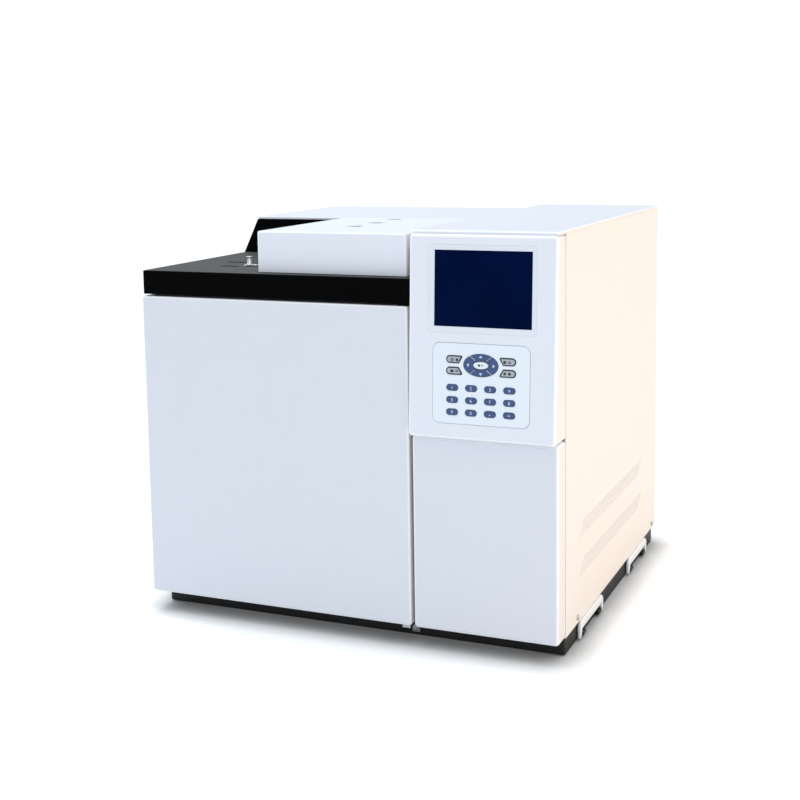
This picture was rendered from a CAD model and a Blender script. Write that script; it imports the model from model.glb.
"""Looks for the bench gas chromatograph: panels, covers, keys, finishes, light and camera, laid out as an add-on."""

import math

import bpy
import numpy as np
from bpy.props import FloatProperty, FloatVectorProperty, PointerProperty
from mathutils import Matrix, Vector
from mathutils.geometry import tessellate_polygon


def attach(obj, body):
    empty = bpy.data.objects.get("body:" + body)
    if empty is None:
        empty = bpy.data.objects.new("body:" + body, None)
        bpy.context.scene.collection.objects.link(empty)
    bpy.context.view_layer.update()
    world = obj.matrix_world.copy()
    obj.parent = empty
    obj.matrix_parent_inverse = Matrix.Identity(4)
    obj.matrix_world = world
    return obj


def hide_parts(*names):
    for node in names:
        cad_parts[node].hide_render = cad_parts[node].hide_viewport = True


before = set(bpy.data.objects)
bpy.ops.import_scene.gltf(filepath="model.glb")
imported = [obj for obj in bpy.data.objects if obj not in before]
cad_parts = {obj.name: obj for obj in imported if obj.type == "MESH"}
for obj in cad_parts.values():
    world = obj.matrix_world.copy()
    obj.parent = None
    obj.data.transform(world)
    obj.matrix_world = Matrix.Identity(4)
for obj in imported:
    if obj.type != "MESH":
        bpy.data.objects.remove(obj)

bl_info = {
    "name": "Gas chromatograph looks",
    "version": (1, 0, 0),
    "blender": (4, 5, 0),
    "location": "View3D > Sidebar > Chromatograph",
    "description": "Builds the panels, keys, finishes and studio of a bench gas chromatograph",
    "category": "Object",
}

# Planes of the cabinet, in millimetres, the same values as the part's source
LEFT, RIGHT, FRONT, REAR = -272.0, 272.0, -257.5, 257.5
BODY_Z, DOOR_TOP, DECK_Z, DECK_TOP, COVER_TOP, TOP = 26.0, 411.0, 413.6, 443.4, 494.3, 500.0
DOOR_RIGHT, TOWER_LEFT = 90.0, 94.0
PANEL_DEPTH, SHEET = 28, 1.5
SEAM = FRONT + PANEL_DEPTH
CONSOLE_Z, LIP, TILT = 261.0, 12.0, math.atan(13 / 239)
CONSOLE_X = (TOWER_LEFT + RIGHT) / 2
COVER_BACK = FRONT + 260
HOOD_Y = COVER_BACK + 2
LIP_Z = TOP - 4
COVER_X = (-113.4, 83.6)
WINDOW_V, KEYPAD_V = 173.3, 65.0
ACCESS_X, ACCESS_Y, ACCESS_PITCH, ACCESS_SIZE = COVER_X[1] - 110.6, COVER_BACK - 15, 64, 25
HANDLE_Y, HANDLE_PITCH = FRONT + 143, 252
SIDE_SCREWS = ((FRONT + 80.7, 32.4), (FRONT + 491.5, 31.6))

# The vents: rows, a row's height, the bands' length, start and feet, and each row's lean as a share of the pitch
VENT_ROWS, VENT_ROW, VENT_LENGTH, VENT_LEAN = 6, 3.2, 318, 0.72
VENT_START, VENT_FEET = FRONT + 88, (BODY_Z + 53.5, BODY_Z + 101.5)
SLOT_SHARE, SLOT_HEIGHT, SLOT_SLANT = 0.56, 1.5, 0.7

# The keypad, from its middle: the number keys' grid, the ring's middle, its ellipses and its cuts
KEY_PITCH, ROW_PITCH, FIRST_ROW, KEY_FOOT = 22.8, 14.1, -4.7, -2.2
RING_AT, RING, RING_HOLE, RING_CUT = (0, 22.2), (41.6, 26), (19.4, 9.8), math.radians(38)
NUMBER_KEYS = [f"key_{digit}" for digit in "1234567890"] + ["key_point", "key_minus"]
SIDE_KEYS = ["key_menu", "key_back", "key_start", "key_stop"]
NAV_KEYS = ["nav_up", "nav_left", "nav_down", "nav_right"]

# Flat rings beside bends and hole lips, which keep the shading of the round off the flat
GUARD, HOLE_GUARD = 0.12, 0.6


# ---- shapes ----

def unit(v):
    """A vector divided by its length."""
    return v / np.hypot(*v)


def grid(n, rows, at=0, wraps=True):
    """Faces between neighbouring rows of n vertices, the first of which has the number at."""
    i, j = np.meshgrid(np.arange(n if wraps else n - 1), np.arange(rows - 1))
    a, b = (at + j * n + i).ravel(), (at + j * n + (i + 1) % n).ravel()
    return np.stack([a, b, b + n, a + n], 1).tolist()


def rounded_path(points, radii, steps=6, closed=True, guard=GUARD):
    """Corners turned into arcs. An arc's centre lies on the corner's bisector, at radius / sin(half the
    corner's angle) from it. Returns the points and the outward normals of an outline that runs
    anticlockwise. A guard point on the straight beside each arc keeps its shading off the flat."""
    p = np.asarray(points, float)
    n = len(p)
    radii = np.broadcast_to(radii, n)
    out, nrm = [], []
    for i in range(n):
        before, after = p[i - 1] - p[i], p[(i + 1) % n] - p[i]
        if not closed and i in (0, n - 1):
            d = after if i == 0 else -before
            out.append(p[i][None])
            nrm.append(unit(np.array([d[1], -d[0]]))[None])
            continue
        a, b = unit(before), unit(after)
        n1, n2 = np.array([-a[1], a[0]]), np.array([b[1], -b[0]])
        if radii[i] <= 0:
            out.append(p[i][None])
            nrm.append(((n1 + n2) / (1 + n1 @ n2))[None])
            continue
        h = unit(a + b)
        centre = p[i] + h * radii[i] / math.sqrt(1 - (h @ a) ** 2)
        turn = 1.0 if n1[0] * n2[1] - n1[1] * n2[0] > 0 else -1.0
        start = math.atan2(n1[1], n1[0])
        swing = (math.atan2(n2[1], n2[0]) - start + math.pi) % (2 * math.pi) - math.pi
        t = start + swing * np.linspace(0, 1, steps + 1)
        m = np.stack([np.cos(t), np.sin(t)], 1)
        arc = centre + turn * radii[i] * m
        out += [arc[:1] + a * guard, arc, arc[-1:] + b * guard]
        nrm += [n1[None], m, n2[None]]
    return np.concatenate(out), np.concatenate(nrm)


def rect(x0, y0, x1, y1):
    """Corners of a rectangle, anticlockwise."""
    return [(x0, y0), (x1, y0), (x1, y1), (x0, y1)]


def ellipse(w, h, n=48):
    """Points of an ellipse, with the normals of its equation's gradient."""
    t = np.linspace(0, 2 * math.pi, n, endpoint=False)
    g = np.stack([np.cos(t) / w, np.sin(t) / h], 1)
    return np.stack([np.cos(t) * w / 2, np.sin(t) * h / 2], 1), g / np.linalg.norm(g, axis=1)[:, None]


def bend(r, reach, steps=5):
    """The end of a profile: up a wall to a quarter circle of radius r, then in over the face. Pairs of
    (offset, height) that stop at the height reach."""
    t = np.linspace(0, math.pi / 2, steps + 1)
    arc = np.stack([-r * (1 - np.cos(t)), reach - r * (1 - np.sin(t))], 1)
    return [(0, reach - r - GUARD)] + [tuple(q) for q in arc] + [(-r - GUARD, reach)]


def flat_front(u, v, w):
    """Outline in X and Z, height out of the front."""
    return u, -w, v


def lying(u, v, w):
    """Outline in X and Y, height upwards."""
    return u, v, w


def on_console(u, v, w):
    """U to the right from the console's middle, V up its sloping face, W out of it along -Y. The slope is
    a shear: y falls back by V times the slope's sine, so its top and bottom stay level."""
    return CONSOLE_X + u, FRONT - LIP + v * math.sin(TILT) - w, CONSOLE_Z + v * math.cos(TILT)


def to_side(u, v, w):
    """Outline in Y and Z, height out of the right side."""
    return w, u, v


def put(name, verts, faces, material, body, sharp=32):
    """Makes the mesh object, in metres, shades it smooth below the sharp angle and lets it ride its body."""
    mesh = bpy.data.meshes.new(name)
    mesh.from_pydata((np.asarray(verts) * 0.001).tolist(), [], faces)
    mesh.validate()
    mesh.update()
    mesh.shade_smooth()
    mesh.set_sharp_from_angle(angle=math.radians(sharp))
    obj = bpy.data.objects.new(name, mesh)
    bpy.context.scene.collection.objects.link(obj)
    obj.data.materials.append(material)
    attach(obj, body)
    return obj


def filled(rings, up):
    """Triangles over a flat outline with holes, all turned the same way."""
    flat = np.concatenate(rings)
    tris = np.array(tessellate_polygon([[Vector((x, y, 0)) for x, y in r] for r in rings]), int)
    a, b, c = flat[tris[:, 0]], flat[tris[:, 1]], flat[tris[:, 2]]
    area = (b[:, 0] - a[:, 0]) * (c[:, 1] - a[:, 1]) - (b[:, 1] - a[:, 1]) * (c[:, 0] - a[:, 0])
    wrong = (area > 0) != up
    tris[wrong] = tris[wrong][:, ::-1]
    return tris


def carried(path, profile, place, holes=(), closed=True, lip=0.0):
    """A profile carried round an outline. Ring j is the outline moved by offset[j] along its normals, at
    height[j]. The first and last rings are closed by flat faces, less the holes, whose walls join them. A
    hole with a lip also has a guard ring, which keeps the lip's shading off the flat. Returns vertices and
    faces."""
    pts, nrm = path
    prof = np.asarray(profile, float)
    k, n = len(prof), len(pts)
    flat = pts[None] + nrm[None] * prof[:, 0, None, None]
    uvw = [np.concatenate([flat, np.broadcast_to(prof[:, 1, None, None], (k, n, 1))], 2).reshape(-1, 3)]
    faces = grid(n, k, 0, closed)
    if not closed:
        faces.append(list(range(0, k * n, n)))
        faces.append(list(range(n - 1, k * n, n))[::-1])
        faces.append([0, (k - 1) * n, k * n - 1, n - 1])
    if holes:
        low, high = prof[0, 1], prof[-1, 1]
        guard = HOLE_GUARD if lip else 0.0
        wall = [(lip + guard, high), (lip, high), (0.3 * lip, high - 0.3 * lip), (0, high - lip), (0, low)]
        at, tops, bottoms = k * n, [], []
        for hp, hn in holes:
            c = len(hp)
            uvw += [np.column_stack([hp + hn * off, np.full(c, height)]) for off, height in wall]
            faces += grid(c, len(wall), at)
            tops.append((hp + hn * (lip + guard), at + np.arange(c)))
            bottoms.append((hp, at + (len(wall) - 1) * c + np.arange(c)))
            at += len(wall) * c
        for rings, base, up in ((tops, (k - 1) * n, True), (bottoms, 0, False)):
            index = np.concatenate([base + np.arange(n)] + [r[1] for r in rings])
            outer = flat[-1] if up else flat[0]
            faces += index[filled([outer] + [r[0] for r in rings], up)].tolist()
    else:
        faces += [list(range(n))[::-1], list(range((k - 1) * n, k * n))]
    verts = np.concatenate(uvw)
    x, y, z = place(verts[:, 0], verts[:, 1], verts[:, 2])
    return np.column_stack([x, y, z]), faces


def joined(*parts):
    """Several meshes as one list of vertices and faces."""
    verts, faces, at = [], [], 0
    for v, f in parts:
        verts.append(v)
        faces += [[q + at for q in face] for face in f]
        at += len(v)
    return np.concatenate(verts), faces


def moved(place, du=0.0, dv=0.0, dw=0.0):
    """A placing that first shifts U, V and W."""
    return lambda u, v, w: place(u + du, v + dv, w + dw)


def across(u, v, w):
    """Outline in Y and Z, height along X."""
    return w, u, v


def knuckle(x, y, z, low, high, top):
    """The turning half of a hinge: a bar beside the ear, from low to high along Y and up to the top, and the
    pin through the ear."""
    bar = carried(rounded_path(rect(low, z - 2.6, high, top), 0.5, 3),
                  [(-0.3, x - 13.3), (0, x - 13), (0, x - 4.6), (-0.3, x - 4.3)], across)
    pin = lathe([(0.01, x - 10), (1.5, x - 10), (1.5, x + 5.7), (1.2, x + 6), (0.01, x + 6)],
                moved(across, y, z), 24)
    return joined(bar, pin)


def lathe(profile, place, spin=32):
    """A profile of (radius, height) pairs turned about W: a unit circle carried with its radius as offset."""
    prof = np.asarray(profile, float)
    t = np.linspace(0, 2 * math.pi, spin, endpoint=False)
    circle = np.stack([np.cos(t), np.sin(t)], 1)
    return carried((circle * 0, circle), prof, place)


# ---- finishes ----

WHITE, DUST, AGED = (1, 1, 1, 1), (0.55, 0.54, 0.52, 1), (0.94, 0.86, 0.79, 1)
LENS_COLOURS = (0.0002, 0.0036, 0.03, 1), (0.0004, 0.006, 0.044, 1)
RESULTS = [("Colour", "Color"), ("Roughness", "Float"), ("Height", "Float")]


def group(name, inputs, outputs):
    """An empty shader node group with named sockets. Inputs are (name, kind, default)."""
    g = bpy.data.node_groups.new(name, "ShaderNodeTree")
    for label, kind, value in inputs:
        s = g.interface.new_socket(name=label, in_out="INPUT", socket_type="NodeSocket" + kind)
        s.default_value = value
    for label, kind in outputs:
        g.interface.new_socket(name=label, in_out="OUTPUT", socket_type="NodeSocket" + kind)
    return g, g.nodes.new("NodeGroupInput"), g.nodes.new("NodeGroupOutput")


def node(tree, kind, links=(), **values):
    """Adds a shader node. Links are (input, socket or value) pairs; other names set its properties."""
    n = tree.nodes.new("ShaderNode" + kind)
    for key, value in values.items():
        setattr(n, key, value)
    for key, source in links:
        socket = n.inputs[key]
        if hasattr(source, "links"):
            tree.links.new(source, socket)
        else:
            socket.default_value = source
    return n


def maths(tree, operation, *values):
    """A math node's result. The values are sockets or numbers, in the order of its inputs."""
    return node(tree, "Math", enumerate(values), operation=operation).outputs[0]


def noise(tree, at, scale, detail, roughness=0.5):
    """A noise texture's value."""
    return node(tree, "TexNoise", [("Vector", at), ("Scale", scale), ("Detail", detail),
                                             ("Roughness", roughness)]).outputs["Fac"]


def split(tree, vector):
    """The three parts of a vector, by their names."""
    return node(tree, "SeparateXYZ", [(0, vector)]).outputs


def ranged(tree, value, low, high, top=1.0):
    """0 at low and the top at high, straight between them and level beyond."""
    return node(tree, "MapRange", [("Value", value), ("From Min", low), ("From Max", high),
                                             ("To Max", top)]).outputs[0]


def mixed(tree, factor, colour, other):
    """A colour mixed with another one."""
    return node(tree, "Mix", [("Factor", factor), ("A", colour), ("B", other)],
                data_type="RGBA").outputs["Result"]


def tinted(tree, colour, amount):
    """A colour made lighter by the amount, as a share of its value."""
    value = maths(tree, "ADD", amount, 1.0)
    return node(tree, "HueSaturation", [("Value", value), ("Color", colour)]).outputs[0]


def hand_out(g, gout, colour, roughness, height):
    """Joins a group's results to its output sockets."""
    for label, source in (("Colour", colour), ("Roughness", roughness), ("Height", height)):
        g.links.new(source, gout.inputs[label])
    return g


def shaded(name):
    """A new material, its node tree and its shader."""
    m = bpy.data.materials.new(name)
    m.use_nodes = True
    return m, m.node_tree, m.node_tree.nodes["Principled BSDF"]


def plain(n, values):
    """Puts uniform values on a node's own sockets."""
    for key, value in values.items():
        n.inputs[key].default_value = value


def bends(g, colour, amount):
    """The colour, yellowed on what faces right, and paler where the surface bends: there no part of the
    object-space normal is near 1. The coat lies thin on a bend and polishes first."""
    at = node(g, "TexCoord").outputs["Normal"]
    warm = mixed(g, ranged(g, split(g, at)["X"], 0.5, 0.95, amount), colour, AGED)
    size = split(g, node(g, "VectorMath", [(0, at)], operation="ABSOLUTE").outputs[0])
    most = maths(g, "MAXIMUM", maths(g, "MAXIMUM", size["X"], size["Y"]), size["Z"])
    return mixed(g, ranged(g, most, 0.985, 0.9, amount), warm, WHITE)


def coat_group():
    """Powder coat: fine orange peel, a slow drift of tone, pale bends, and dust on what faces up."""
    g, gin, gout = group("Powder coat", [
        ("Colour", "Color", (0.8, 0.8, 0.8, 1)), ("Drift", "Float", 0.03),
        ("Grain size", "Float", 1400.0), ("Roughness", "Float", 0.4),
        ("Dust", "Float", 0.05), ("Bends", "Float", 0.0)], RESULTS)
    at = node(g, "TexCoord").outputs["Object"]
    both = maths(g, "ADD", noise(g, at, 3.2, 3.0), noise(g, at, 26.0, 6.0, 0.62))
    amount = maths(g, "MULTIPLY", maths(g, "SUBTRACT", both, 1.0), gin.outputs["Drift"])
    lies = ranged(g, split(g, node(g, "NewGeometry").outputs["Normal"])["Z"], 0.4, 1.0)
    film = maths(g, "MULTIPLY", lies, ranged(g, noise(g, at, 420.0, 4.0, 0.7), 0.3, 0.85))
    dust = maths(g, "MULTIPLY", film, gin.outputs["Dust"])
    dusty = mixed(g, dust, tinted(g, gin.outputs["Colour"], amount), DUST)
    rough = maths(g, "ADD", maths(g, "ADD", amount, gin.outputs["Roughness"]), dust)
    peel = noise(g, at, gin.outputs["Grain size"], 2.0)
    return hand_out(g, gout, bends(g, dusty, gin.outputs["Bends"]), rough, peel)


def grain_group():
    """Rolled or moulded grain: noise stretched along one axis, for brushed steel and moulded plastic."""
    g, gin, gout = group("Grain", [
        ("Colour", "Color", (0.6, 0.6, 0.6, 1)), ("Depth", "Float", 0.1),
        ("Scale", "Vector", (400, 400, 400)), ("Roughness", "Float", 0.4),
        ("Bends", "Float", 0.0)], RESULTS)
    at = node(g, "TexCoord").outputs["Object"]
    wide = node(g, "VectorMath", [(0, at), (1, gin.outputs["Scale"])], operation="MULTIPLY").outputs[0]
    fine = noise(g, wide, 1.0, 5.0, 0.6)
    amount = maths(g, "MULTIPLY", maths(g, "SUBTRACT", fine, 0.5), gin.outputs["Depth"])
    colour = bends(g, tinted(g, gin.outputs["Colour"], amount), gin.outputs["Bends"])
    return hand_out(g, gout, colour, maths(g, "ADD", amount, gin.outputs["Roughness"]), fine)


GROUPS, FINISH = {}, {}


def finish(name, kind, colour, bump=0.1, distance=0.0002, metallic=0.0, coat=0.0, specular=0.5, sheen=0.0,
           **inputs):
    """A material: a Principled shader fed by one of the groups, with its plain numbers on its own sockets."""
    if name in FINISH:
        return FINISH[name]
    if kind not in GROUPS:
        GROUPS[kind] = {"coat": coat_group, "grain": grain_group}[kind]()
    m, t, shader = shaded(name)
    g = node(t, "Group", node_tree=GROUPS[kind])
    plain(g, {"Colour": (*colour, 1)})
    plain(g, {key.replace("_", " ").capitalize(): value for key, value in inputs.items()})
    t.links.new(g.outputs["Colour"], shader.inputs["Base Color"])
    t.links.new(g.outputs["Roughness"], shader.inputs["Roughness"])
    b = node(t, "Bump", [("Strength", bump), ("Distance", distance), ("Height", g.outputs["Height"])])
    t.links.new(b.outputs["Normal"], shader.inputs["Normal"])
    plain(shader, {"Metallic": metallic, "Coat Weight": coat, "Coat Roughness": 0.12,
                   "Specular IOR Level": specular, "Sheen Weight": sheen, "Sheen Roughness": 0.25})
    FINISH[name] = m
    return m


def painted(name, colour, **more):
    """A light powder coat."""
    return finish(name, "coat", colour, **{"bump": 0.12, "roughness": 0.42, "drift": 0.012, "bends": 0.7, **more})


def white_coat():
    """Paint of the door and the tower."""
    return painted("white powder coat", look().front_colour)


def cover_coat():
    """Paint of the injector cover, as light as the console."""
    return painted("cover powder coat", look().console_colour)


def rear_coat():
    """Paint of the rear and the left side."""
    return painted("rear powder coat", (0.66, 0.65, 0.645), roughness=0.46, bends=0.0)


def side_coat():
    """Paint of the right side."""
    return painted("warm powder coat", look().side_colour, roughness=0.46)


def black_coat():
    """Paint of the deck and the hood, with a soft sheen and some dust."""
    return finish("black powder coat", "coat", look().deck_colour, bump=0.3, roughness=0.42, drift=0.06,
                  dust=0.075, grain_size=1100.0, specular=0.02, sheen=0.25)


def moulded(name, colour, **more):
    """A moulded plastic."""
    more = {"bump": 0.12, "scale": (2200, 2200, 2200), "depth": 0.03, "roughness": 0.4, **more}
    return finish(name, "grain", colour, **more)


def black_moulding():
    """The plastic of the switch, the inlet and the handles' pins."""
    return moulded("black moulding", (0.014, 0.014, 0.016), roughness=0.44, depth=0.2)


def steel(name="brushed stainless", colour=(0.6, 0.6, 0.59), along=(60, 900, 900), rough=0.3):
    """A metal with a rolled or turned grain."""
    return finish(name, "grain", colour, bump=0.15, distance=0.0001, metallic=1.0, scale=along, depth=0.35,
                  roughness=rough)


def look():
    """The sizes and colours that a user changes."""
    return bpy.context.scene.chromatograph_look


# ---- sheet-metal pieces ----

def panel(name, x0, z0, x1, z1, edge, corner, material, body):
    """A folded front panel, open at the back: its wall goes up inside, round the rim and out over the face."""
    path = rounded_path(rect(x0, z0, x1, z1), corner)
    rim = [(-SHEET, PANEL_DEPTH - SHEET), (-SHEET, 0.15), (-SHEET + 0.15, 0), (-0.15, 0), (0, 0.15)]
    place = lambda u, v, w: flat_front(u, v, w - FRONT - PANEL_DEPTH)
    return put(name, *carried(path, rim + bend(edge, PANEL_DEPTH), place), material, body)


def oven_door():
    """The door's folded skin, with the hinge blocks that its pins turn in."""
    skin = panel("door_skin", LEFT, BODY_Z, DOOR_RIGHT, DOOR_TOP, 2.7, 3, white_coat(), "door")
    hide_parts("door_panel")
    block, pin = rounded_path(rect(75, FRONT + 1.4, 88.6, FRONT + 16), 0.6, 3), ellipse(6.1, 6.1, 32)
    bore = (pin[0] + np.array([DOOR_RIGHT - 7, FRONT + 9]), pin[1])
    for side, z in (("low", BODY_Z + 1.5), ("high", DOOR_TOP - 16.5)):
        profile = [(-0.3, z), (0, z + 0.3), (0, z + 14.7), (-0.3, z + 15)]
        made = put(f"door_hinge_block_{side}", *carried(block, profile, lying, [bore]), steel(), "door")


def lower_cover():
    """The tower's lower front cover."""
    made = panel("lower_cover_skin", TOWER_LEFT, BODY_Z - 1, RIGHT, CONSOLE_Z - 1.2, 4.2, 4.5, white_coat(),
                 "cabinet")
    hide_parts("lower_front_cover")


def cover_shell(name, x0, x1, y0, y1, z0, z1, corner, edge, holes, material, body):
    """A cover open below and behind: an outline that starts and ends at the rear, with its edge bent in."""
    path = rounded_path([(x0, y1), (x0, y0), (x1, y0), (x1, y1)], corner, closed=False)
    rim = [(-SHEET, z1 - SHEET), (-SHEET, z0 + 0.2), (-SHEET + 0.2, z0), (-0.2, z0), (0, z0 + 0.2)]
    v, f = carried(path, rim + bend(edge, z1), lying, holes, closed=False, lip=0.5)
    return put(name, v, f, material, body)


def injector_lid():
    """The white box over the injectors, with its three access holes and the brackets of its hinge."""
    hole, nrm = ellipse(ACCESS_SIZE, ACCESS_SIZE, 40)
    holes = [(hole + np.array((ACCESS_X, ACCESS_Y - k * ACCESS_PITCH)), nrm) for k in range(3)]
    made = cover_shell("injector_cover_skin", *COVER_X, FRONT + 16, COVER_BACK, DECK_TOP + 0.6, COVER_TOP, 3, 2.6,
                       holes, cover_coat(), "injector_cover")
    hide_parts("injector_cover")
    y, z = HOOD_Y - 8, COVER_TOP - 4.4
    for k, x in enumerate((COVER_X[0] + 22, COVER_X[1] - 22)):
        shape = knuckle(x, y, z, y - 2.6, y + 2.6, COVER_TOP - SHEET)
        hinge = put(f"injector_cover_hinge_{k + 1}", *shape, steel(), "injector_cover")


def black_deck():
    """The black deck over the oven, with its two slots, and the small catch that stands on it: a post, an arm
    and a lug."""
    path = rounded_path(rect(LEFT + 1.8, FRONT + 1, TOWER_LEFT - 2.3, REAR - 1.8), 2.2)
    rim = [(-2, DECK_TOP - 2), (-2, DECK_Z + 0.2), (-1.8, DECK_Z), (-0.2, DECK_Z), (0, DECK_Z + 0.2)]
    slot, nrm = rounded_path(rect(-13, -3.5, 13, 3.5), 3.45, 8, guard=0.02)
    holes = [(slot + np.array([LEFT + 86 - k * 18, FRONT + 75 + k * 48]), nrm) for k in (0, 1)]
    made = put("deck_skin", *carried(path, rim + bend(1.6, DECK_TOP), lying, holes, lip=0.5), black_coat(), "cabinet")
    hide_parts("deck")
    chrome = steel("bright catch", (0.75, 0.75, 0.76), (300, 300, 300), 0.12)
    post = lathe([(0.01, 0), (5.2, 0), (5.2, 1.4), (4.8, 1.8), (3.0, 1.8), (2.8, 2.2), (2.8, 9.6), (3.6, 10.2),
                  (3.8, 11.2), (3.2, 12.2), (0.01, 12.4)], moved(lying, -165, -169.5, DECK_TOP), 28)
    arm = carried(rounded_path(rect(-163, -182.6, -146, -177.4), 2.2, 4),
                  [(-0.4, DECK_TOP), (0, DECK_TOP + 0.4), (0, DECK_TOP + 2.6), (-0.5, DECK_TOP + 3.1)], lying)
    lug = carried(rounded_path(rect(-168, -181, -163, -171), 1.2, 4),
                  [(-0.4, DECK_TOP), (0, DECK_TOP + 0.4), (0, DECK_TOP + 1.4), (-0.4, DECK_TOP + 1.8)], lying)
    made = put("deck_catch_parts", *joined(post, arm, lug), chrome, "cabinet")
    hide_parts("deck_catch")


def hood_lid():
    """The thin light lid over the detectors, notched round its hinge lugs, with its own hinge knuckles."""
    x0, x1, y1 = LEFT + 1.8 + 23, TOWER_LEFT - 2.3, REAR + 1
    notch, hinges = [], (LEFT + 70, x1 - 50)
    for x in hinges[::-1]:
        notch += [(x + 4.3, y1), (x + 4.3, REAR - 1.8), (x - 4.3, REAR - 1.8), (x - 4.3, y1)]
    corners = [(x0, HOOD_Y + 0.3), (x1, HOOD_Y + 0.3), (x1, y1)] + notch + [(x0, y1)]
    path = rounded_path(corners, [2, 2, 3] + [1.0] * 8 + [3], 5)
    z0 = COVER_TOP - 3
    profile = [(-0.3, z0), (0, z0 + 0.3)] + bend(0.75, COVER_TOP, 4)
    y, z = REAR + 4, z0 - 2
    parts = [carried(path, profile, lying)] + [knuckle(x, y, z, y - 4.3, y + 2.6, COVER_TOP) for x in hinges]
    made = put("detector_lid_skin", *joined(*parts), white_coat(), "detector_lid")
    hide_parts("detector_lid")


def tower_top():
    """The tower's top sheet with its bends and lips, and the deep flange on its left."""
    made = cover_shell("tower_top_skin", TOWER_LEFT, RIGHT, FRONT + 4, REAR, LIP_Z, TOP, 3.4, 3, (), white_coat(),
                       "cabinet")
    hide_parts("tower_top_cover")
    v, f = carried(rounded_path(rect(SEAM + 0.3, TOP - 16, REAR, LIP_Z + 0.6), 0.3, 2),
                   [(-0.2, TOWER_LEFT), (0, TOWER_LEFT + 0.2), (0, TOWER_LEFT + SHEET)], across)
    put("tower_top_flange", v, f, white_coat(), "cabinet")


def vent_cells(count, pitch, z0):
    """Cells of a perforated band: each is a square of sheet round a slot with round ends, eight faces in the
    sheet and eight in the slot's wall. Each row starts a lean further back than the one below it. Returns
    vertices and faces in (y, z, depth)."""
    w, h = pitch * SLOT_SHARE, SLOT_HEIGHT
    ring = np.array([(-w / 2, 0), (-w / 2 + h / 3, -h / 2), (0, -h / 2), (w / 2 - h / 3, -h / 2), (w / 2, 0),
                     (w / 2 - h / 3, h / 2), (0, h / 2), (-w / 2 + h / 3, h / 2)])
    ring[:, 0] += ring[:, 1] * SLOT_SLANT
    a, b = pitch / 2, VENT_ROW / 2
    edge = np.array([(-a, 0), (-a, -b), (0, -b), (a, -b), (a, 0), (a, b), (0, b), (-a, b)])
    cell = np.concatenate([np.column_stack([edge, np.zeros(8)]), np.column_stack([ring, np.zeros(8)]),
                           np.column_stack([ring, np.full(8, -SHEET)])])
    i, r = [g.ravel() for g in np.meshgrid(np.arange(count), np.arange(VENT_ROWS))]
    at = np.column_stack([VENT_START + a + i * pitch + r * (pitch * VENT_LEAN), z0 + b + r * VENT_ROW,
                          np.zeros(len(i))])
    verts = (at[:, None] + cell[None]).reshape(-1, 3)
    k = np.arange(8)
    n = (k + 1) % 8
    quads = np.concatenate([np.stack([k, n, n + 8, k + 8], 1), np.stack([k + 8, n + 8, n + 16, k + 16], 1)])
    faces = (np.arange(len(i))[:, None, None] * 24 + quads[None]).reshape(-1, 4)
    return verts, faces.tolist()


def side_sheet():
    """The right side panel. Rows of vent cells lie between plain strips, and a row's strips reach from the
    panel's edges to its first and last cell."""
    y0, y1, z0, z1 = SEAM + 1.8, REAR, BODY_Z - 1, LIP_Z - 0.05
    pitch = look().vent_pitch * 1000
    count = int(VENT_LENGTH / pitch)
    strips, low = [], z0
    for z in VENT_FEET:
        strips.append((y0, low, y1, z))
        for r in range(VENT_ROWS):
            left, foot, head = VENT_START + r * pitch * VENT_LEAN, z + r * VENT_ROW, z + (r + 1) * VENT_ROW
            strips += [(y0, foot, left, head), (left + count * pitch, foot, y1, head)]
        low = z + VENT_ROWS * VENT_ROW
    strips.append((y0, low, y1, z1))
    plain_parts = [([(*q, 0) for q in rect(*s)], [[0, 1, 2, 3]]) for s in strips]
    edge = np.array([(*q, d) for d in (0, -SHEET) for q in rect(y0, z0, y1, z1)])
    rim = [[0, 4, 5, 1], [1, 5, 6, 2], [2, 6, 7, 3], [3, 7, 4, 0]]
    v, f = joined(*plain_parts, *[vent_cells(count, pitch, z) for z in VENT_FEET], (edge, rim))
    made = put("side_sheet", np.column_stack([RIGHT + v[:, 2], v[:, 0], v[:, 1]]), f, side_coat(), "cabinet")
    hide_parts("right_side_panel")
    back = carried(rounded_path(rect(y0 + 0.5, z0 + 0.5, y1 - 2, z1 - 0.5), 0.3, 2),
                   [(0, RIGHT - 2.6), (0, RIGHT - 1.7)], to_side)
    shade = finish("inner sheet", "grain", (0.56, 0.57, 0.6), scale=(60, 60, 60), depth=0.05, roughness=0.6)
    put("side_inner_sheet", *back, shade, "cabinet")
    head = [(0.01, -0.4), (3.4, -0.4), (3.5, 0.3), (3.2, 1.1), (2.4, 1.7), (1.2, 1.95), (1.1, 1.3), (0.01, 1.3)]
    screws = [lathe(head, moved(to_side, y, z, RIGHT), 24) for y, z in SIDE_SCREWS]
    metal = steel("screw head", (0.5, 0.49, 0.48), (500, 500, 500), 0.35)
    put("side_screws", *joined(*screws), metal, "cabinet")


# ---- console ----

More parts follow.
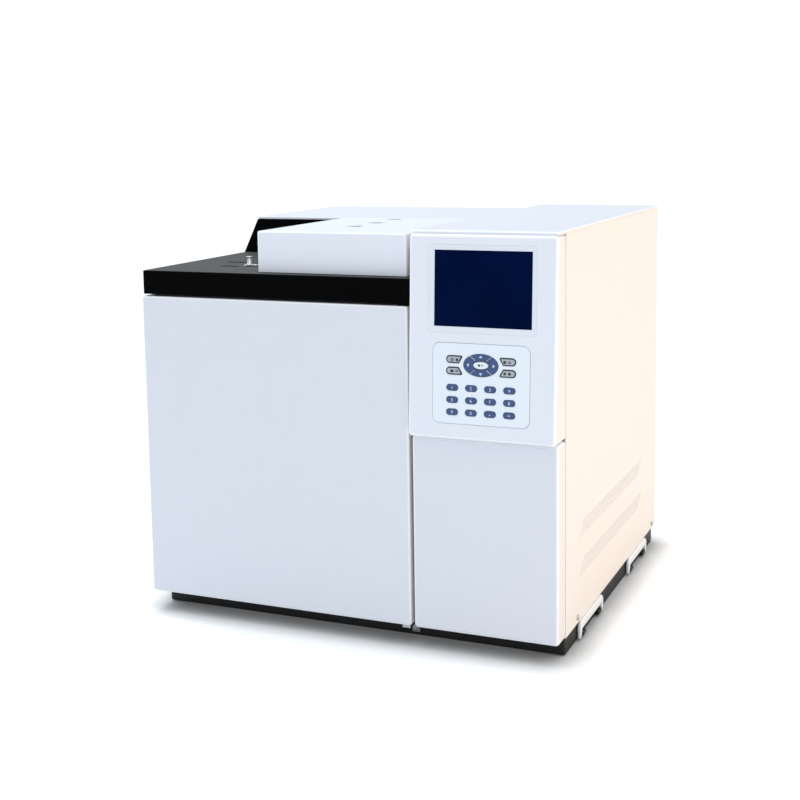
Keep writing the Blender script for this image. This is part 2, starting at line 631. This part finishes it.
def console_front():
    """The console's moulding: its outline is carried from the rear rim to the rounded front edge, and its face
    is open for the display and the keypad. Ledges close both openings from behind."""
    w, top = (RIGHT - TOWER_LEFT) / 2, (LIP_Z - 0.02 - CONSOLE_Z) / math.cos(TILT)
    path = rounded_path(rect(-w, 0, w, top), 4.8, 6)
    r = look().console_edge * 1000
    profile = [(-3, -3), (-3, -70), (-0.5, -70), (0, -69.5)] + bend(r, 0, 7)
    win = rounded_path(rect(-65, WINDOW_V - 50.25, 65, WINDOW_V + 50.25), 1.0, 4, guard=0.05)
    pad = rounded_path(rect(-58.5, KEYPAD_V - 46.75, 58.5, KEYPAD_V + 46.75), 9, 8)

    def place(u, v, d):
        """On the console, but not behind the seam."""
        x, y, z = on_console(u, v, d)
        return x, np.minimum(y, SEAM - 0.3), z

    v, f = carried(path, profile, place, [win, pad], lip=0.12)
    white = moulded("white moulding", look().console_colour, bends=0.7)
    made = put("console_moulding", v, f, white, "cabinet")
    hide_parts("console_housing")
    window_ledge = carried(rounded_path(rect(-66, WINDOW_V - 51, 66, WINDOW_V + 51), 1), [(0, -8), (0, -3.6)],
                           on_console, [rounded_path(rect(-60, WINDOW_V - 45, 60, WINDOW_V + 45), 1)])
    pad_ledge = carried(rounded_path(rect(-60, KEYPAD_V - 48, 60, KEYPAD_V + 48), 3), [(0, -5), (0, -3.4)],
                        on_console)
    dark = moulded("recess", (0.3, 0.31, 0.33))
    put("console_ledges", *joined(window_ledge, pad_ledge), dark, "cabinet")


def display():
    """The frame that slopes in to the display, and the display's dark lens. Each ring of the frame is the
    window moved out by a margin, at a height."""
    s, h = look().window_width * 500, 43.75
    margins = [(6.35, -3.6), (6.35, -0.15), (6.2, 0.0), (5.9, 0.0), (5.6, -0.12), (0.4, -3.2), (0, -3.4), (0, -3.6)]
    corners = np.array([(-1, -1), (1, -1), (1, 1), (-1, 1)])
    v = np.concatenate([np.column_stack([corners * (s + m, h + m) + (0, WINDOW_V), np.full(4, z)])
                        for m, z in margins])
    k = 4 * (len(margins) - 1)
    faces = grid(4, len(margins)) + [[k + i, k + (i + 1) % 4, (i + 1) % 4, i] for i in range(4)]
    white = moulded("frame moulding", look().console_colour, roughness=0.34)
    made = put("display_frame", np.column_stack(on_console(*v.T)), faces, white, "cabinet", 20)
    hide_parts("display_bezel")
    lens, t, shader = shaded("display lens")
    cloud = noise(t, node(t, "TexCoord").outputs["Object"], 14.0, 2.0)
    ramp = node(t, "ValToRGB", [("Fac", cloud)])
    for stop, position, colour in zip(ramp.color_ramp.elements, (0.35, 0.7), LENS_COLOURS):
        stop.position, stop.color = position, colour
    t.links.new(ramp.outputs[0], shader.inputs["Base Color"])
    plain(shader, {"Roughness": 0.16, "Specular IOR Level": 0.015})
    wear(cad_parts["display_window"], lens)


def plate_holes(gap):
    """Outlines of the keypad's holes: each key's outline moved out by the gap, and one oval for the ring and
    its centre."""
    oval = ellipse(RING[0] + 2 * gap, RING[1] + 2 * gap)[0] + RING_AT
    return [(p + n * gap, n) for p, n, _ in key_outlines()[:-5]] + [(oval, ellipse(*RING)[1])]


def obround(w, h, at):
    """A bar with round ends, about a point."""
    p, n = rounded_path(rect(-w / 2, -h / 2, w / 2, h / 2), h / 2 - 0.02, 9, guard=0.01)
    return p + at, n


def side_shape(k):
    """A side key: round at its outer end, slanted at its inner end, mirrored for the other three."""
    e, s = (1, 1, -1, -1)[k], (-1, 1)[k % 2]
    pts = np.array([(-10, -4.3), (5, -4.3), (10, 4.3), (-10, 4.3)]) * (e, -s)
    if e * -s < 0:
        pts = pts[::-1]
    radii = [4.2 if abs(q[0] * e + 10) < 0.1 else 1.4 for q in pts]
    p, n = rounded_path(pts, radii, 8, guard=0.02)
    return p + ((-31.6, 31.6)[k // 2], (27.8, 14.6)[k % 2]), n


def nav_shape(k):
    """A quarter of the navigation ring. Its sides lie along cuts that leave the centre at the cut's angle,
    moved apart by the slack, and its ends follow the ring's two ellipses."""
    tan, slack = math.tan(RING_CUT), 0.8
    upright = k in (0, 2)

    def meet(w, h):
        """Where the cut y = tan * x + c meets the ellipse of these axes, as an angle of the ellipse."""
        a, b = w / 2, h / 2
        c = slack if upright else -slack
        qa, qb, qc = 1 / a ** 2 + tan ** 2 / b ** 2, 2 * tan * c / b ** 2, c * c / b ** 2 - 1
        x = (-qb + math.sqrt(qb * qb - 4 * qa * qc)) / (2 * qa)
        return math.atan2((tan * x + c) / b, x / a)

    def arc(size, steps):
        """The part of an ellipse between the two cuts."""
        end = meet(*size)
        t = np.linspace(end, math.pi - end, steps) if upright else np.linspace(-end, end, steps)
        return np.column_stack([size[0] / 2 * np.cos(t), size[1] / 2 * np.sin(t)])

    pts = np.concatenate([arc(RING, 18), arc(RING_HOLE, 12)[::-1]])
    if k in (1, 2):
        pts = -pts
    step = np.roll(pts, -1, 0) - pts
    face = np.column_stack([step[:, 1], -step[:, 0]])
    face /= np.linalg.norm(face, axis=1)[:, None]
    prev = np.roll(face, 1, 0)
    nrm = (face + prev) / (1 + (face * prev).sum(1))[:, None]
    return pts + RING_AT, nrm


def number_place(i):
    """Where number key i stands, from the keypad's middle."""
    return (i % 4 - 1.5) * KEY_PITCH, FIRST_ROW - i // 4 * ROW_PITCH


def key_outlines():
    """Every key's outline, its normals and its node, in the keypad's plane about its middle."""
    keys = [(*obround(14, 7.2, number_place(i)), name) for i, name in enumerate(NUMBER_KEYS)]
    keys += [(*side_shape(k), name) for k, name in enumerate(SIDE_KEYS)]
    keys += [(*nav_shape(k), name) for k, name in enumerate(NAV_KEYS)]
    p, n = ellipse(18, 8.4)
    return keys + [(p + RING_AT, n, "key_enter")]


def ring_webs(on_pad):
    """Four pale webs that lie in the ring's cuts."""
    webs = []
    for sx, sy in ((1, 1), (-1, 1), (-1, -1), (1, -1)):
        c, s = sx * math.cos(RING_CUT), sy * math.sin(RING_CUT)
        along, side = np.array((c, s)), np.array((-s, c))
        ends = [along * a + side * b + RING_AT for a, b in ((8.3, -0.3), (17.3, -0.3), (17.3, 0.3), (8.3, 0.3))]
        if sx * sy < 0:
            ends = ends[::-1]
        webs.append(carried(rounded_path(ends, 0.1, 2, guard=0.01), [(0, -1.3), (0, 0.35), (-0.08, 0.43)], on_pad))
    pale = moulded("ring web", (0.5, 0.6, 0.76), roughness=0.4)
    put("ring_webs", *joined(*webs), pale, "cabinet")


def keypad():
    """The keypad's plate and every key, each on its own body, with its printed mark."""
    on_pad = moved(on_console, dv=KEYPAD_V)
    path = rounded_path(rect(-58.05, -46.3, 58.05, 46.3), 8.6, 8)
    v, f = carried(path, [(0, -1.3), (0, 0.0), (-0.2, 0.2)], on_pad, plate_holes(0.35), lip=0.15)
    plate = put("keypad_film", v, f, moulded("keypad film", look().film_colour, roughness=0.36, depth=0.02), "cabinet")
    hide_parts("keypad_plate")
    ring_webs(on_pad)
    blue = moulded("blue key", look().key_colour, roughness=0.42, depth=0.06)
    grey = moulded("grey key", (0.42, 0.45, 0.5), roughness=0.42)
    pale = moulded("pale key", (0.8, 0.85, 0.93), roughness=0.36)
    rim = moulded("black key rim", (0.02, 0.02, 0.024), roughness=0.45)
    for p, n, name in key_outlines():
        if name in NAV_KEYS:
            profile = [(0, 0.35), (-0.12, 0.62), (-0.42, 0.8)]
            mat, slot_name = blue, "key_blue"
        elif name == "key_enter":
            profile = [(0, 0.4), (-0.2, 0.68), (-0.6, 0.82), (-1.6, 0.86)]
            mat, slot_name = pale, "keypad_film"
        elif name in SIDE_KEYS:
            profile = [(0, 0.45), (-0.15, 0.6), (-1.1, 0.62)]
            mat, slot_name = rim, "key_grey"
            shape = carried((p, n), [(-1.15, 0.5), (-1.17, 0.66), (-1.3, 0.8), (-1.6, 0.84)], on_pad)
            put(name + "_cap", *shape, grey, name)
        else:
            profile = [(0, 0.3), (-0.15, 0.56), (-0.5, 0.74), (-1.2, 0.84), (-2.2, 0.88)]
            mat, slot_name = blue, "key_blue"
        made = put(name + "_top", *carried((p, n), [(0, KEY_FOOT)] + profile, on_pad), mat, name)
        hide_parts(name)
    key_marks(on_pad)


def key_marks(on_pad):
    """Printed marks: digits on the number keys, arrows on the ring, and plain signs on the side keys."""
    light = moulded("light print", (0.62, 0.7, 0.86), roughness=0.5)
    ink = moulded("dark print", (0.03, 0.03, 0.035), roughness=0.5)
    for i, (name, text) in enumerate(zip(NUMBER_KEYS, "1234567890")):
        curve = bpy.data.curves.new(name + "_mark", "FONT")
        curve.body, curve.size, curve.extrude = text, 5.4, 0.02
        curve.align_x, curve.align_y = "CENTER", "CENTER"
        holder = bpy.data.objects.new(name + "_mark_curve", curve)
        bpy.context.scene.collection.objects.link(holder)
        bpy.context.view_layer.update()
        flat = bpy.data.meshes.new_from_object(holder)
        bpy.data.objects.remove(holder)
        co = np.empty(len(flat.vertices) * 3)
        flat.vertices.foreach_get("co", co)
        co = co.reshape(-1, 3)
        co[:, :2] -= ((co.min(0) + co.max(0)) / 2)[:2]
        u, v = number_place(i)
        at = np.column_stack(on_pad(co[:, 0] + u, co[:, 1] + v, co[:, 2] + 0.9))
        put(name + "_mark", at, [list(q.vertices) for q in flat.polygons], light, name)
    arrow = np.array([(-2.1, -1.1), (2.1, -1.1), (0, 1.7)])
    for k, (name, at) in enumerate(zip(NAV_KEYS, ((0, 32), (-15.4, 22.2), (0, 12.4), (15.4, 22.2)))):
        a = math.radians(90 * k)
        spin = np.array([(math.cos(a), math.sin(a)), (-math.sin(a), math.cos(a))])
        shape = carried(rounded_path(arrow @ spin + at, 0.15, 2), [(0, 0.75), (0, 0.84)], on_pad)
        put(name + "_mark", *shape, light, name)

    def bar(u, v, w, h, corner, low, high):
        """A printed bar about a point, from one height to another."""
        outline = rounded_path(rect(u - w / 2, v - h / 2, u + w / 2, v + h / 2), corner, 3, guard=0.01)
        return carried(outline, [(0, low), (0, high)], on_pad)

    for name, (u, v, w, h) in {"key_point": (11.4, -33.6, 1.3, 1.3), "key_minus": (34.2, -32.9, 3.0, 0.9)}.items():
        put(name + "_mark", *bar(u, v, w, h, 0.3, 0.8, 0.92), light, name)
    signs = {"key_menu": [(-34.5, 28.9, 4, 0.8), (-34.5, 27.4, 4, 0.8), (-34.5, 25.9, 4, 0.8), (-28.6, 27.4, 3, 3.4)],
             "key_back": [(-34.5, 14.4, 4, 3.2), (-28.8, 15.3, 3.4, 0.9), (-28.8, 13.6, 3.4, 0.9)],
             "key_start": [(28.6, 27.4, 3.4, 3.4), (34.3, 28.2, 3.6, 0.9), (34.3, 26.6, 3.6, 0.9)],
             "key_stop": [(28.8, 14.4, 3, 3.2), (34.3, 14.4, 3.4, 3.2)]}
    for name, marks in signs.items():
        parts = [bar(u, v, w, h, min(w, h) * 0.3, 0.8, 0.87) for u, v, w, h in marks]
        put(name + "_mark", *joined(*parts), ink, name)
    parts = [bar(u, RING_AT[1], w, h, 0.35, 0.82, 0.89) for u, w, h in ((-1.9, 2.4, 2.6), (1.9, 2.8, 1.0))]
    put("key_enter_mark", *joined(*parts), ink, "key_enter")


# ---- handles ----

def handle_strap(side, y):
    """A carry handle: a rounded strap section carried along an arch in the plane of the side panel, with a pin
    at the foot of each leg. The section is a superellipse, |x|^n + |z|^n = 1 with n near 4."""
    x = side * (RIGHT + 0.1)
    low, top, sides = 3.1, 24.4, 20
    line, nrm = rounded_path([(y + 52.4, low), (y + 49.8, top - 5.6), (y - 49.8, top - 5.6), (y - 52.4, low)],
                             [0, 5.5, 5.5, 0], 8, closed=False)
    n = len(line)
    half = np.interp(line[:, 1], [low, low + 1.2, top - 9, top - 5.6], [2.2, 3.4, 4.2, 5.6])
    t = np.linspace(0, 2 * math.pi, sides, endpoint=False)
    wide = np.sign(np.cos(t)) * np.abs(np.cos(t)) ** 0.5 * 2.5
    tall = np.sign(np.sin(t)) * np.abs(np.sin(t)) ** 0.5
    thick = np.interp(line[:, 1], [low, low + 1.2], [0.72, 1.0])
    yz = line[:, None] + nrm[:, None] * (tall[None, :, None] * half[:, None, None])
    xs = x + wide[None, :, None] * thick[:, None, None]
    verts = np.concatenate([xs, yz], 2).reshape(-1, 3)
    faces = grid(sides, n) + [list(range(sides))[::-1], list(range((n - 1) * sides, n * sides))]
    pins = []
    for e in (-1, 1):
        ends = sorted((y + e * 32.2, y + e * 49))
        pins.append(lathe([(0.01, -ends[1]), (1.5, -ends[1]), (1.5, -ends[0]), (0.01, -ends[0])],
                          lambda u, v, w: (u + x, -w, v + 5.4), 20))
    return (verts, faces), joined(*pins)


def carry_handles():
    """Four handles, each on its own body."""
    white = moulded("white handle", (0.9, 0.93, 0.97), roughness=0.38)
    for name, side, y in (("handle_front_right", 1, HANDLE_Y), ("handle_rear_right", 1, HANDLE_Y + HANDLE_PITCH),
                          ("handle_front_left", -1, HANDLE_Y), ("handle_rear_left", -1, HANDLE_Y + HANDLE_PITCH)):
        strap, pins = handle_strap(side, y)
        made = put(name + "_strap", *strap, white, name)
        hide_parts(name)
        put(name + "_pins", *pins, black_moulding(), name)


# ---- carried-over pieces ----

def wear(obj, material):
    """Gives every material slot of a carried-over piece the finish."""
    for s in obj.material_slots:
        s.material = material
    if not obj.material_slots:
        obj.data.materials.append(material)


def bracket_finish():
    """Bright plating on the low bracket, and black paint on the high one, which stands under the deck: the two
    colours change over at a height between them."""
    m = steel("plated bracket", (0.5, 0.5, 0.51), (300, 300, 300), 0.28)
    t = m.node_tree
    base = t.nodes["Principled BSDF"].inputs["Base Color"]
    height = split(t, node(t, "TexCoord").outputs["Object"])["Z"]
    high = maths(t, "GREATER_THAN", height, 0.2)
    t.links.new(mixed(t, high, base.links[0].from_socket, (0.004, 0.004, 0.004, 1)), base)
    return m


def inner_finishes():
    """Finishes of the pieces whose shape is kept: base, panels, oven, fan, services."""
    grain = lambda name, colour, **more: finish(name, "grain", colour, **more)
    sheet, turned = steel(), steel("turned steel", (0.62, 0.62, 0.62), (300, 300, 2400), 0.22)
    worn = {
        "base_plinth": finish("plinth coat", "coat", look().deck_colour, bump=0.3, roughness=0.5, drift=0.1,
                              dust=0.0, grain_size=1100.0),
        "rubber_feet": grain("foot rubber", (0.016, 0.016, 0.016), bump=0.4, scale=(900, 900, 900), depth=0.3,
                             roughness=0.8),
        "oven_jacket": grain("mineral wool", (0.62, 0.57, 0.46), bump=0.9, distance=0.0012,
                             scale=(260, 260, 700), depth=0.5, roughness=0.95),
        "door_seal": grain("braided seal", (0.5, 0.48, 0.43), bump=0.9, distance=0.0008,
                           scale=(700, 300, 700), depth=0.4, roughness=0.9),
        "column_coil": grain("amber tube", (0.42, 0.17, 0.04), bump=0.05, coat=0.6, scale=(900, 900, 900),
                             depth=0.15, roughness=0.25),
        "gas_fittings": grain("turned brass", (0.66, 0.45, 0.16), metallic=1.0, scale=(400, 2600, 400),
                              depth=0.3, roughness=0.24),
        "control_board": grain("circuit board", (0.02, 0.14, 0.06), bump=0.3, scale=(900, 260, 260), depth=0.6,
                               roughness=0.4),
        "fan_motor": finish("motor paint", "coat", (0.05, 0.055, 0.065), roughness=0.5, drift=0.1, bump=0.3),
        "heater_coil": steel("heated wire", (0.33, 0.26, 0.22), (500, 500, 500), 0.42),
        "tower_partition": steel("zinc sheet", (0.5, 0.51, 0.52), (30, 30, 30), 0.4),
        "left_side_panel": rear_coat(), "rear_panel": rear_coat(), "vent_flap": rear_coat(),
        "detector_hood": black_coat(), "oven_liner": sheet, "fan_baffle": sheet, "door_liner": sheet,
        "oven_fan": sheet, "injectors": turned, "detectors": turned, "hinge_brackets": bracket_finish(),
        "mains_inlet": black_moulding(), "power_rocker": black_moulding()}
    for name, material in worn.items():
        wear(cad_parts[name], material)


# ---- studio ----

# The surround's strength as a light: at the horizon, its rise to the zenith and its slope to the left
SKY_LOW, SKY_RISE, SKY_SLOPE, SKY_COLOUR = 0.45, 0.78, 0.15, (0.93, 0.975, 1.0, 1)
# The floor: half its width, its colour, its glow to the camera and the reach of its contact shadow
FLOOR_HALF, FLOOR_COLOUR, FLOOR_GLOW, CONTACT = 40.0, (0.85, 0.86, 0.87), 0.24, 0.04
# The camera: its place in metres, its turns to the left, down and about its view in degrees, and its optics
EYE_AT, EYE_TURNS = (0.67687, -1.66537, 0.61278), (22.91, 7.25, -0.84)
SENSOR, LENS, SHIFT = 36.0, 59.83, -0.125
# Name, place, aim, size in metres, power in watts, colour
LIGHTS = (("high_left_box", (-1.0, 0.1, 2.5), (0, 0, 0.4), 0.8, 15, (0.78, 0.93, 1.0)),
          ("right_warm", (2.1, 0.15, 0.62), (0.25, 0, 0.25), 1.1, 13.5, (1.0, 0.73, 0.5)),
          ("left_edge", (-2.3, 0.2, 0.95), (0, 0, 0.45), 0.7, 7, (0.97, 0.99, 1.0)),
          ("front_cool", (0.9, -2.9, 1.2), (0, 0, 0.22), 1.6, 11, (0.92, 0.95, 1.0)))


def surround(world):
    """White to the camera. As a light it grows from the horizon to the zenith and a little towards the left:
    strength = low + rise * max(z, 0) - slope * x, over the direction's parts."""
    world.use_nodes = True
    t = world.node_tree
    t.nodes.clear()
    way = split(t, node(t, "TexCoord").outputs["Generated"])
    sky = maths(t, "MULTIPLY_ADD", maths(t, "MAXIMUM", way["Z"], 0.0), SKY_RISE, SKY_LOW)
    strength = maths(t, "MULTIPLY_ADD", way["X"], -SKY_SLOPE, sky)
    light = node(t, "Background", [("Color", SKY_COLOUR), ("Strength", strength)]).outputs[0]
    seen = node(t, "Background", [("Color", WHITE), ("Strength", 1.0)]).outputs[0]
    ray = node(t, "LightPath").outputs["Is Camera Ray"]
    pick = node(t, "MixShader", [(0, ray), (1, light), (2, seen)]).outputs[0]
    node(t, "OutputWorld", [("Surface", pick)])


def studio_floor():
    """A pale floor, darker close to what stands on it, with a faint glow to the camera."""
    r = FLOOR_HALF
    mesh = bpy.data.meshes.new("studio_floor")
    mesh.from_pydata([(-r, -r, 0), (r, -r, 0), (r, r, 0), (-r, r, 0)], [], [(0, 1, 2, 3)])
    floor = bpy.data.objects.new("studio_floor", mesh)
    bpy.context.scene.collection.objects.link(floor)
    m, t, shader = shaded("floor")
    plain(shader, {"Roughness": 1.0, "Specular IOR Level": 0.0, "Emission Color": WHITE})
    near = node(t, "AmbientOcclusion", [("Distance", CONTACT), ("Color", (*FLOOR_COLOUR, 1))], samples=12)
    glow = maths(t, "MULTIPLY", node(t, "LightPath").outputs["Is Camera Ray"], FLOOR_GLOW)
    t.links.new(near.outputs["Color"], shader.inputs["Base Color"])
    t.links.new(maths(t, "MULTIPLY", glow, near.outputs["AO"]), shader.inputs["Emission Strength"])
    mesh.materials.append(m)


def studio():
    """A pale lit floor, soft lights, a white surround and the camera."""
    scene = bpy.context.scene
    scene.view_settings.view_transform = "Standard"
    scene.world = scene.world or bpy.data.worlds.new("surround")
    surround(scene.world)
    studio_floor()
    for name, at, aim, size, power, colour in LIGHTS:
        light = bpy.data.lights.new(name, "AREA")
        light.shape, light.size, light.energy, light.color = "SQUARE", size, power, colour
        lamp = bpy.data.objects.new(name, light)
        lamp.location = at
        lamp.rotation_euler = (Vector(aim) - Vector(at)).to_track_quat("-Z", "Y").to_euler()
        scene.collection.objects.link(lamp)
    cam = bpy.data.cameras.new("camera")
    cam.sensor_width, cam.lens, cam.shift_y = SENSOR, LENS, SHIFT
    eye = bpy.data.objects.new("camera", cam)
    yaw, pitch, roll = (math.radians(a) for a in EYE_TURNS)
    ahead = Vector((-math.sin(yaw) * math.cos(pitch), math.cos(yaw) * math.cos(pitch), -math.sin(pitch)))
    level = Vector((math.cos(yaw), math.sin(yaw), 0))
    upright = level.cross(ahead)
    right = math.cos(roll) * level + math.sin(roll) * upright
    up = -math.sin(roll) * level + math.cos(roll) * upright
    eye.matrix_world = Matrix.Translation(EYE_AT) @ Matrix((right, up, -ahead)).transposed().to_4x4()
    scene.collection.objects.link(eye)
    scene.camera = eye


# ---- add-on ----

TINT = {"subtype": "COLOR", "size": 3, "min": 0, "max": 1}


class ChromatographLook(bpy.types.PropertyGroup):
    """Sizes and colours of the looks."""

    front_colour: FloatVectorProperty(
        name="Front colour", description="Paint of the door, the tower and the detector lid",
        default=(0.735, 0.755, 0.83), **TINT)
    side_colour: FloatVectorProperty(
        name="Side colour", description="Paint of the right side panel",
        default=(0.85, 0.82, 0.815), **TINT)
    console_colour: FloatVectorProperty(
        name="Console colour", description="Console, display frame and injector cover",
        default=(0.795, 0.825, 0.9), **TINT)
    deck_colour: FloatVectorProperty(
        name="Deck colour", description="Paint of the deck, hood and plinth",
        default=(0.0016, 0.0016, 0.0018), **TINT)
    key_colour: FloatVectorProperty(
        name="Key colour", description="Colour of the number keys and the navigation ring",
        default=(0.042, 0.08, 0.205), **TINT)
    film_colour: FloatVectorProperty(
        name="Film colour", description="Colour of the keypad's film",
        default=(0.81, 0.87, 0.95), **TINT)
    window_width: FloatProperty(
        name="Window width", description="Width of the display's window", unit="LENGTH",
        default=0.117, min=0.1, max=0.12)
    console_edge: FloatProperty(
        name="Console edge", description="Radius of the console's front edges", unit="LENGTH",
        default=0.0045, min=0.002, max=0.007)
    vent_pitch: FloatProperty(
        name="Vent pitch", description="Distance from one vent slot to the next", unit="LENGTH",
        default=0.006, min=0.004, max=0.01)


def operator(idname, label, make):
    """An operator class that builds one piece or group of pieces."""
    def execute(self, context):
        make()
        return {"FINISHED"}
    return type("CHROMATOGRAPH_OT_" + idname, (bpy.types.Operator,), {
        "__doc__": make.__doc__, "bl_idname": "chromatograph." + idname, "bl_label": label,
        "bl_options": {"REGISTER", "UNDO"}, "execute": execute})


PIECES = [operator(*row) for row in (
    ("door", "Oven door", oven_door), ("lower_cover", "Lower front cover", lower_cover),
    ("deck", "Deck", black_deck), ("injector_cover", "Injector cover", injector_lid),
    ("hood_lid", "Detector lid", hood_lid), ("tower_top", "Tower top", tower_top),
    ("side_sheet", "Side panel", side_sheet), ("console", "Console", console_front),
    ("display", "Display", display), ("keypad", "Keypad", keypad),
    ("handles", "Carry handles", carry_handles), ("finishes", "Inner finishes", inner_finishes),
    ("studio", "Studio", studio))]


class CHROMATOGRAPH_PT_looks(bpy.types.Panel):
    """Lists the sizes, colours and pieces."""

    bl_label = "Chromatograph"
    bl_space_type = "VIEW_3D"
    bl_region_type = "UI"
    bl_category = "Chromatograph"

    def draw(self, context):
        for name in ChromatographLook.__annotations__:
            self.layout.prop(look(), name)
        for piece in PIECES:
            self.layout.operator(piece.bl_idname)


def register():
    for c in (ChromatographLook, *PIECES, CHROMATOGRAPH_PT_looks):
        bpy.utils.register_class(c)
    bpy.types.Scene.chromatograph_look = PointerProperty(type=ChromatographLook)


def unregister():
    del bpy.types.Scene.chromatograph_look
    for c in (CHROMATOGRAPH_PT_looks, *PIECES[::-1], ChromatographLook):
        bpy.utils.unregister_class(c)


def main():
    """Builds everything and writes the box of the solids and of the finished looks."""
    register()
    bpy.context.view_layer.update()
    for piece in PIECES:
        getattr(bpy.ops.chromatograph, piece.bl_idname.split(".")[1])()
    bpy.context.view_layer.update()


if __name__ == "__main__":
    main()
